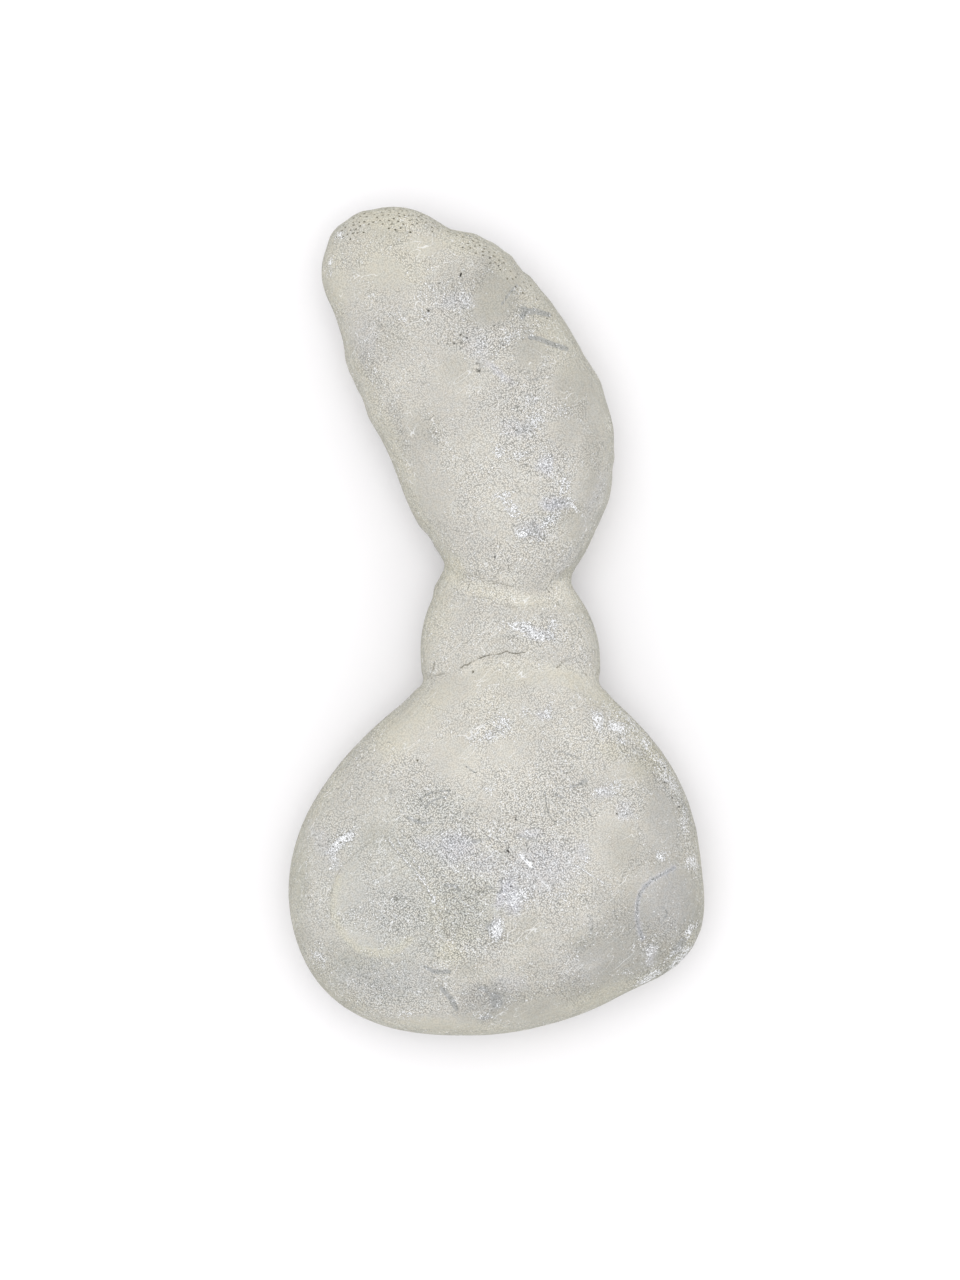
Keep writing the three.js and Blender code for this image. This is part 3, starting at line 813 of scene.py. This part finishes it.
# How granular the skin is: its usual share, how much that varies over how far, and what GRAINY and
# BARE can add or take.
USUAL_GRAIN = 0.42
GRAIN_CHANGE = 0.25
GRAIN_CHANGE_SIZE = 3.2
PLACED_GRAIN = 0.6

# How far the patches' edges wander, and over how far, so that none is a clean oval.
WANDER = 0.3
WANDER_SIZE = 1.6

# The creases waver, and they fade and come back along their length.
CREASE_WAVER = 0.09
CREASE_WAVER_SIZE = 0.55
CREASE_BREAK_SIZE = 1.1


def granularity(places, wandering, upward):
    """How granular the skin is at each place, from 0 to 1."""
    usual = USUAL_GRAIN + GRAIN_CHANGE * lumps(places, GRAIN_CHANGE_SIZE, 3, seed=21)
    placed = patches(wandering, GRAINY) - patches(wandering, BARE, 0.7, 1.2)
    return np.clip(usual + PLACED_GRAIN * upward * placed, 0, 1)


def creases(places):
    """How deep the creases are at each place, in millimetres, and how much painted shade darkens them, from 0
    to 1.
    """
    seen = seen_from_above(places) + CREASE_WAVER * drift(places, CREASE_WAVER_SIZE, (31, 32, 33))
    broken = ease(-0.45, 0.1, lumps(places, CREASE_BREAK_SIZE, 2, seed=34))
    depths = np.zeros(len(places))
    painted_crease_shade = np.zeros(len(places))
    for points, half_width, depth, dark in CREASES:
        away = line_distance(seen, points) / half_width
        depths = np.maximum(depths, depth * (0.3 + 0.7 * broken) * (1 - ease(0, 1, away)))
        painted_crease_shade = np.maximum(painted_crease_shade, dark * (0.35 + 0.65 * broken) * (1 - ease(0.1, 0.9, away)))
    return depths, painted_crease_shade


def skin_fields(places, outwards, pits, crease_shade):
    """How much there is of everything at each place, by the names that the material reads."""
    upward = facing_up(outwards)
    seen = seen_from_above(places)
    wandering = seen + WANDER * drift(places, WANDER_SIZE, (11, 12, 13))
    fields = {"granular": granularity(places, wandering, upward)}
    for name, marks in PATCHES.items():
        fields[name] = upward * patches(wandering, marks)
    for name, (size, low, high, strength, seed) in PATCHES_BELOW.items():
        fields[name] += (1 - upward) * strength * ease(low, high, lumps(places, size, 2, seed))
    for name, lines in STREAKS.items():
        fields[name] = np.maximum(fields[name], upward * streaks(seen, lines))
    # Painted shade in the creases, the cracks and the pits.
    in_pit = 1 - ease(0.7, 1.1, nearest(places, pits) / PIT_RADIUS)
    fields["crease_and_pit_shade"] = np.maximum(upward * crease_shade, in_pit)
    # How steep the skin is; the material darkens steep sides with an olive rim band and painted shade.
    fields["steep"] = ease(0.85, 0.1, np.abs(outwards[:, 2]))
    fields["black"] = upward * patches(seen, BLACK_GRAINS, 0.8, 1.3)
    return fields


# ---- The skin's mesh ----------------------------------------------------------------------------

VOXEL = 0.32
SMOOTH_ROUNDS = 12
# The rounds of splitting: how far round a detail each reaches, and the widest line that it is for.
FINE_ROUNDS = ((0.3, 0.25), (0.12, 0.15), (0.0, 0.08))
PIT_RADIUS = 0.09
PIT_DEPTH = 0.12
PIT_SEED = 7

# Slow swells in the skin: the size, rise and seed of each. Then its small lumps, which rise more the
# more granular it is.
SWELLS = ((5.0, 0.03, 1), (1.9, 0.007, 2))
LUMP_SIZE = 0.8
LEAST_LUMP_RISE = 0.002
GRAINY_LUMP_RISE = 0.006


def evaluated_mesh(source, modifiers):
    """A new mesh of a CAD object's shape with modifiers, given as (kind, settings), applied."""
    work = bpy.data.objects.new("work", source.data.copy())
    bpy.context.collection.objects.link(work)
    for kind, settings in modifiers:
        modifier = work.modifiers.new(kind.lower(), kind)
        for name, value in settings.items():
            setattr(modifier, name, value)
    graph = bpy.context.evaluated_depsgraph_get()
    mesh = bpy.data.meshes.new_from_object(work.evaluated_get(graph))
    bpy.data.objects.remove(work)
    return mesh


def places_of(mesh):
    """The mesh's vertices and outward normals, with the places in millimetres."""
    places = np.empty(len(mesh.vertices) * 3)
    outwards = np.empty(len(mesh.vertices) * 3)
    mesh.vertices.foreach_get("co", places)
    mesh.vertices.foreach_get("normal", outwards)
    return places.reshape(-1, 3) / MM, outwards.reshape(-1, 3)


def scattered_pits(mesh):
    """Points on the skin where the pits are."""
    places, outwards = places_of(mesh)
    level = np.clip(2 * outwards[:, 2], 0, 1)
    odds = patches(seen_from_above(places), PITTED) * level + STRAY_PITS
    random = np.random.default_rng(PIT_SEED)
    chosen = random.choice(len(places), PIT_TRIES, replace=False, p=odds / odds.sum())
    shake = random.uniform(-0.5, 0.5, (PIT_TRIES, 3)) * VOXEL
    shake -= np.sum(shake * outwards[chosen], axis=1, keepdims=True) * outwards[chosen]
    pits = np.empty((0, 3))
    for pit in places[chosen] + shake:
        if np.all(np.linalg.norm(pits - pit, axis=1) > PIT_SPACING):
            pits = np.vstack((pits, pit))
    return pits


def fine_places(places, pits, margin, widest):
    """Which places are in a narrow line, a black grain or a pit, or within a margin of one."""
    close = nearest(places, pits) < PIT_RADIUS + margin
    seen = seen_from_above(places)
    for points, half_width, *_ in CREASES + CLAY_STREAKS + CHALK_STREAKS:
        if half_width < widest:
            close |= line_distance(seen, points) < half_width + margin
    for x, y, length, *_ in BLACK_GRAINS:
        close |= np.hypot(seen[:, 0] - x, seen[:, 1] - y) < length + margin
    return close


def refine(mesh, pits):
    """Splits the faces near the finest details, so that their shapes hold."""
    work = bmesh.new()
    work.from_mesh(mesh)
    for margin, widest in FINE_ROUNDS:
        places = np.array([vertex.co for vertex in work.verts]) / MM
        close = fine_places(places, pits, margin, widest)
        edges = [edge for edge in work.edges if all(close[end.index] for end in edge.verts)]
        bmesh.ops.subdivide_edges(work, edges=edges, cuts=1, use_grid_fill=True)
        work.verts.index_update()
    bmesh.ops.triangulate(work, faces=work.faces)
    work.to_mesh(mesh)
    work.free()


def relief(places, outwards, pits, granular, crease_depths):
    """How far the skin stands out at each place, in millimetres."""
    rise = (LEAST_LUMP_RISE + GRAINY_LUMP_RISE * granular) * lumps(places, LUMP_SIZE, 2, seed=3)
    for size, height, seed in SWELLS:
        rise += height * lumps(places, size, 2, seed)
    rise -= facing_up(outwards) * crease_depths
    for x, y, reach, out in SIDES:
        away = np.hypot(places[:, 0] - x, places[:, 1] - y) / reach
        rise += out * (1 - ease(0.2, 1.3, away)) * ease(0.95, 0.55, outwards[:, 2])
    rise -= PIT_DEPTH * (1 - ease(0.3, 1.2, nearest(places, pits) / PIT_RADIUS))
    return rise


def skin_mesh(solid):
    """The solid's mesh made finer, with the skin's relief, and with the fields as its attributes."""
    remesh = ("REMESH", {"mode": "VOXEL", "voxel_size": VOXEL * MM, "use_smooth_shade": True})
    smoothing = ("SMOOTH", {"factor": 0.5, "iterations": SMOOTH_ROUNDS})
    mesh = evaluated_mesh(solid, (remesh, smoothing))
    pits = scattered_pits(mesh)
    refine(mesh, pits)
    places, outwards = places_of(mesh)
    depths, painted_crease_shade = creases(places)
    fields = skin_fields(places, outwards, pits, painted_crease_shade)
    risen = places + outwards * relief(places, outwards, pits, fields["granular"], depths)[:, None]
    low, high = (np.array(corner) / MM for corner in cad_box)
    mesh.vertices.foreach_set("co", (np.clip(risen, low, high) * MM).ravel())
    for name, values in fields.items():
        attribute = mesh.attributes.new(name, "FLOAT", "POINT")
        attribute.data.foreach_set("value", values.astype(np.float32))
    mesh.polygons.foreach_set("use_smooth", np.ones(len(mesh.polygons), bool))
    mesh.update()
    return mesh


# ---- Patterns for a material --------------------------------------------------------------------


class Pattern:
    """Builds a material's nodes. Sizes are in millimetres on the stone."""

    def __init__(self, material):
        self.tree = material.node_tree
        self.place = self.tree.nodes.new("ShaderNodeTexCoord").outputs["Object"]

    def add(self, kind, inputs=(), **settings):
        """A new node. Each input is set to a value, or linked if it is given a socket."""
        node = self.tree.nodes.new(kind)
        for name, value in settings.items():
            setattr(node, name, value)
        for name, value in dict(inputs).items():
            if isinstance(value, bpy.types.NodeSocket):
                self.tree.links.new(value, node.inputs[name])
            else:
                node.inputs[name].default_value = value
        return node

    def attribute(self, name):
        return self.add("ShaderNodeAttribute", attribute_name=name).outputs["Fac"]

    def math(self, operation, first, second=0.0, third=0.0):
        node = self.add("ShaderNodeMath", {0: first, 1: second, 2: third}, operation=operation)
        return node.outputs[0]

    def times(self, first, second):
        return self.math("MULTIPLY", first, second)

    def times_plus(self, first, second, third):
        return self.math("MULTIPLY_ADD", first, second, third)

    def ease(self, value, low, high, start=0.0, end=1.0):
        """Start where the value is low, end where it is high, with a smooth turn between them."""
        inputs = {"Value": value, "From Min": low, "From Max": high, "To Min": start, "To Max": end}
        return self.add("ShaderNodeMapRange", inputs, interpolation_type="SMOOTHSTEP").outputs[0]

    def blend(self, share, first, second):
        """The first pattern where the share is 0, and the second where it is 1."""
        return self.times_plus(share, self.math("SUBTRACT", second, first), first)

    def mix(self, factor, first, second, blend="MIX"):
        """The same for colours, which may also be multiplied."""
        node = self.add("ShaderNodeMix", data_type="RGBA", blend_type=blend)
        for name, value in {"Factor_Float": factor, "A_Color": first, "B_Color": second}.items():
            socket = next(s for s in node.inputs if s.identifier == name)
            if isinstance(value, bpy.types.NodeSocket):
                self.tree.links.new(value, socket)
            else:
                socket.default_value = value if isinstance(value, float) else (*value, 1)
        return next(s for s in node.outputs if s.identifier == "Result_Color")

    def toned(self, colour, tone):
        return self.mix(1.0, colour, tone, "MULTIPLY")

    def shifted(self, shift, stretch=(1, 1, 1), turn=0.0):
        """The place, turned about the upright, stretched and moved, so that no two patterns agree."""
        inputs = {"Vector": self.place, "Angle": math.radians(turn)}
        turned = self.add("ShaderNodeVectorRotate", inputs, rotation_type="Z_AXIS").outputs[0]
        inputs = {0: turned, 1: stretch, 2: (shift * MM, shift * MM, shift * MM)}
        return self.add("ShaderNodeVectorMath", inputs, operation="MULTIPLY_ADD").outputs[0]

    def noise(self, size, shift, detail=2.0, roughness=0.5, **place):
        """Soft lumps about size across, with finer ones on them."""
        vector = self.shifted(shift, **place)
        inputs = {"Vector": vector, "Scale": 1 / (size * MM), "Detail": detail, "Roughness": roughness}
        return self.add("ShaderNodeTexNoise", inputs).outputs["Fac"]

    def hairlines(self, size, shift, width, **place):
        """Thin wandering lines, which run where a noise is at its middle."""
        middle = self.math("SUBTRACT", self.noise(size, shift, **place), 0.5)
        return self.ease(self.math("ABSOLUTE", middle), width, 0.4 * width)

    def cells(self, size, shift, dimensions="3D", **place):
        """Packed cells about size across. Flat ones, in 2D, are the same all the way up and down."""
        inputs = {"Vector": self.shifted(shift, **place), "Scale": 1 / (size * MM)}
        return self.add("ShaderNodeTexVoronoi", inputs, voronoi_dimensions=dimensions).outputs

    def grains(self, size, shift, **place):
        """How near a place is to the middle of its grain, from 0 to 1."""
        return self.ease(self.cells(size, shift, **place)["Distance"], 0.8, 0.2)

    def flat_grains(self, size, shift, **place):
        """Grains that look even from above, whatever the slope of the skin."""
        return self.ease(self.cells(size, shift, "2D", **place)["Distance"], 0.7, 0.1)

    def levels(self, size, shift):
        """A level from 0 to 1 that each grain, about size across, has to itself."""
        separate = self.add("ShaderNodeSeparateColor", {"Color": self.cells(size, shift)["Color"]})
        return separate.outputs[0]


# ---- The skin's material ------------------------------------------------------------------------

GREY = (0.430, 0.414, 0.382)
PALE = (0.455, 0.437, 0.396)
COOL_COLOUR = (0.470, 0.459, 0.437)
CREAM_COLOUR = (0.495, 0.471, 0.395)
# Darker ground, partly painted shade along the rims and at the lower right.
DARK_GROUND_AND_SHADE_COLOUR = (0.300, 0.290, 0.258)
# A milky film, partly painted light in the notches and around the neck's crack.
MILKY_AND_PAINTED_LIGHT_COLOUR = (0.600, 0.578, 0.525)
SAGE_COLOUR = (0.395, 0.401, 0.374)
LILAC_COLOUR = (0.450, 0.452, 0.500)
# An olive band round the rim, and painted shade on the steep sides.
OLIVE_RIM_AND_SHADE_COLOUR = (0.330, 0.325, 0.268)
CLAY_COLOUR = (0.255, 0.265, 0.272)
CHALK_COLOUR = (0.86, 0.87, 0.89)
# Dark gaps and fissures, partly painted shade between the grains.
PEPPER_COLOUR = (0.120, 0.125, 0.102)
# Painted shade in the creases, the cracks and the pits.
CREASE_AND_PIT_SHADE_COLOUR = (0.140, 0.128, 0.092)
BLACK_COLOUR = (0.022, 0.020, 0.016)
COOL_TINT = (0.972, 0.990, 1.000)
WARM_TINT = (1.000, 0.990, 0.966)

# What colours the ground, in this order: a field, how much it covers where it is 1, and its colour.
FILMS = (
    ("granular", 0.6, COOL_COLOUR),
    # Darker ground, partly painted shade along the rims and at the lower right.
    ("dark_ground_and_shade", 0.85, DARK_GROUND_AND_SHADE_COLOUR),
    ("cream", 0.8, CREAM_COLOUR),
    # A milky film, partly painted light in the notches and around the neck's crack.
    ("milky_and_painted_light", 0.6, MILKY_AND_PAINTED_LIGHT_COLOUR),
    ("sage", 0.6, SAGE_COLOUR),
    ("lilac", 0.6, LILAC_COLOUR),
    # The steep sides are darker: an olive band round the rim, and painted shade where they turn away from the
    # light above.
    ("steep", 0.55, OLIVE_RIM_AND_SHADE_COLOUR),
)

# Noises: the size of the lumps, a shift that keeps each pattern apart from the others, how many rounds
# of finer lumps there are, and how strong those are.
CLOUDS = (3.4, 1.0, 3.0, 0.5)
MOTTLE = (0.9, 3.0, 3.0, 0.6)
CRUMBS = (0.22, 7.0, 2.0, 0.6)
LAYERS = (1.6, 13.0, 3.0, 0.6)
LAYER_STRETCH = (1, 1, 9)
TINTS = (0.45, 29.0, 2.0, 0.5)

# Grains and fine strokes run one way in some areas and the other way in the rest.
AREAS = (2.4, 5.0, 2.0, 0.5)
ONE_WAY = -35
OTHER_WAY = 55
GRAIN_SIZE = 0.122
GRAIN_STRETCH = (0.75, 1, 1)
STEEP_GRAIN_SIZE = 0.15
STROKE_SIZE = 0.22
STROKE_STRETCH = (0.25, 1, 1)
SCRATCH_STRETCH = (0.3, 1, 1)
SCRATCH_WIDTH = 0.006
FISSURE_WIDTH = 0.01
SALT_SIZE = 0.1

# The grain's middle level, and how much it changes the colour where the skin is bare and granular.
# The grains' raised middles come out lighter and their edges darker: partly the stone's own speckle, partly
# painted light and shade on the grains' relief.
GRAIN_MIDDLE = 0.46
BARE_CONTRAST = 0.26
GRANULAR_CONTRAST = 0.9

RELIEF_HEIGHT = 0.08 * MM


class StoneSkin(Pattern):
    """The patterns in the stone's skin, and the colour and fine relief that they make."""

    def __init__(self, material):
        super().__init__(material)
        self.granular = self.attribute("granular")
        self.steep = self.attribute("steep")
        self.clouds = self.noise(*CLOUDS)
        self.mottle = self.noise(*MOTTLE)
        self.crumbs = self.noise(*CRUMBS)
        self.area = self.ease(self.noise(*AREAS), 0.46, 0.54)
        self.grain = self.make_grain()
        contrast = self.ease(self.granular, 0.0, 1.0, BARE_CONTRAST, GRANULAR_CONTRAST)
        self.grainy = self.times(self.math("SUBTRACT", self.grain, GRAIN_MIDDLE), contrast)
        ragged = self.make_ragged()
        self.crust = self.times(self.attribute("chalk"), ragged)
        self.smear = self.times(self.attribute("clay"), self.times_plus(ragged, 0.5, 0.5))
        self.chalk = self.ease(self.crust, 0.48, 0.95)
        self.salt, self.pepper = self.make_single_grains()
        # Fine dark fissures where the skin is granular, their darkness partly painted shade.
        gaps = self.times(self.ease(self.mottle, 0.5, 0.6), self.granular)
        self.fissures = self.times(self.hairlines(1.3, 31.0, FISSURE_WIDTH), gaps)

    def make_grain(self):
        """Flat grains above, and round ones on the steep sides, where flat ones would be stripes."""
        above = self.blend(
            self.area,
            self.flat_grains(GRAIN_SIZE, 11.0, stretch=GRAIN_STRETCH, turn=ONE_WAY),
            self.flat_grains(GRAIN_SIZE, 12.0, stretch=GRAIN_STRETCH, turn=OTHER_WAY),
        )
        return self.blend(self.steep, above, self.grains(STEEP_GRAIN_SIZE, 11.0))

    def make_ragged(self):
        """How raggedly the patches break up: about 1 on average."""
        strokes = self.blend(
            self.area,
            self.noise(STROKE_SIZE, 17.0, 2.0, 0.6, stretch=STROKE_STRETCH, turn=ONE_WAY),
            self.noise(STROKE_SIZE, 19.0, 2.0, 0.6, stretch=STROKE_STRETCH, turn=OTHER_WAY),
        )
        ragged = self.times_plus(strokes, 2.0, self.math("SUBTRACT", self.grain, 2.0))
        return self.times_plus(self.crumbs, 3.0, ragged)

    def make_single_grains(self):
        """White grains and dark gaps, thickest in the crusts, the smears and wherever it is granular: partly
        real white and dark grains, partly painted light on raised grains and painted shade in the gaps
        between them.
        """
        plenty = self.times_plus(self.granular, 0.06, self.times_plus(self.mottle, 0.06, -0.035))
        plenty = self.times_plus(self.attribute("lilac"), 0.05, plenty)
        white_share = self.times_plus(self.crust, 0.4, plenty)
        dark_share = self.times_plus(self.crust, 0.02, self.times_plus(plenty, 0.8, -0.014))
        dark_share = self.times_plus(self.smear, 0.12, dark_share)
        level = self.levels(SALT_SIZE, 23.0)
        salt = self.ease(self.math("ADD", level, white_share), 0.97, 1.03)
        pepper = self.ease(self.math("SUBTRACT", level, dark_share), 0.02, -0.03)
        return salt, pepper

    def scratches(self):
        """Fine pale scratches, some in the clouds and some where the skin is granular."""
        first = self.hairlines(1.5, 37.0, SCRATCH_WIDTH, stretch=SCRATCH_STRETCH, turn=-40)
        second = self.hairlines(1.2, 41.0, SCRATCH_WIDTH, stretch=SCRATCH_STRETCH, turn=50)
        return self.math(
            "MAXIMUM",
            self.times(first, self.ease(self.clouds, 0.48, 0.56)),
            self.times(second, self.ease(self.granular, 0.5, 0.8)),
        )

    def ground(self):
        """The colour of the skin, with its films and its grain."""
        colour = self.mix(self.ease(self.clouds, 0.4, 0.6), GREY, PALE)
        for name, share, film in FILMS:
            colour = self.mix(self.times(self.attribute(name), share), colour, film)
        colour = self.toned(colour, self.ease(self.mottle, 0.3, 0.7, 0.985, 1.015))
        layers = self.noise(*LAYERS, stretch=LAYER_STRETCH)
        colour = self.mix(self.steep, colour, self.toned(colour, self.ease(layers, 0.35, 0.65, 0.87, 1.13)))
        tint = self.mix(self.ease(self.noise(*TINTS), 0.3, 0.7), COOL_TINT, WARM_TINT)
        colour = self.toned(colour, tint)
        return self.toned(colour, self.math("ADD", self.grainy, 1.0))

    def colour(self):
        """The ground with the marks on it, each over the one before."""
        marks = (
            (self.ease(self.smear, 0.4, 0.9, 0.0, 0.6), CLAY_COLOUR),
            (self.times(self.chalk, 0.8), CHALK_COLOUR),
            (self.times(self.scratches(), 0.4), CHALK_COLOUR),
            # White grains, and dark fissures and gaps: partly real, partly painted light on the raised grains
            # and painted shade between them.
            (self.times(self.salt, 0.7), CHALK_COLOUR),
            (self.times(self.fissures, 0.4), PEPPER_COLOUR),
            (self.times(self.pepper, 0.5), PEPPER_COLOUR),
            # Painted shade in the creases, the cracks and the pits.
            (self.attribute("crease_and_pit_shade"), CREASE_AND_PIT_SHADE_COLOUR),
            (self.attribute("black"), BLACK_COLOUR),
        )
        colour = self.ground()
        for share, mark in marks:
            colour = self.mix(share, colour, mark)
        return colour

    def height(self):
        """The fine relief: grains and chalk stand out, and dark gaps and fissures lie deeper."""
        height = self.times_plus(self.crumbs, 0.15, self.times(self.grainy, 0.6))
        raised = self.times_plus(self.salt, 0.5, self.times(self.chalk, 0.4))
        sunken = self.times_plus(self.pepper, 0.7, self.fissures)
        return self.math("SUBTRACT", self.math("ADD", height, raised), sunken)


def stone_material():
    material = bpy.data.materials.new("chalky stone")
    material.use_nodes = True
    shader = material.node_tree.nodes["Principled BSDF"]
    skin = StoneSkin(material)
    bump = skin.add("ShaderNodeBump", {"Height": skin.height(), "Distance": RELIEF_HEIGHT, "Strength": 1.0})
    links = material.node_tree.links
    links.new(skin.colour(), shader.inputs["Base Color"])
    links.new(bump.outputs["Normal"], shader.inputs["Normal"])
    links.new(skin.ease(skin.crumbs, 0.3, 0.7, 0.72, 0.92), shader.inputs["Roughness"])
    shader.inputs["Specular IOR Level"].default_value = 0.35
    return material


# ---- The stone ----------------------------------------------------------------------------------


def add_stone():
    mesh = skin_mesh(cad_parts["stone"])
    mesh.materials.clear()
    mesh.materials.append(stone_material())
    skin = bpy.data.objects.new("stone_skin", mesh)
    bpy.context.collection.objects.link(skin)
    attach(skin, "root")
    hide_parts("stone")


add_camera()
add_floor()
add_lights()
add_stone()
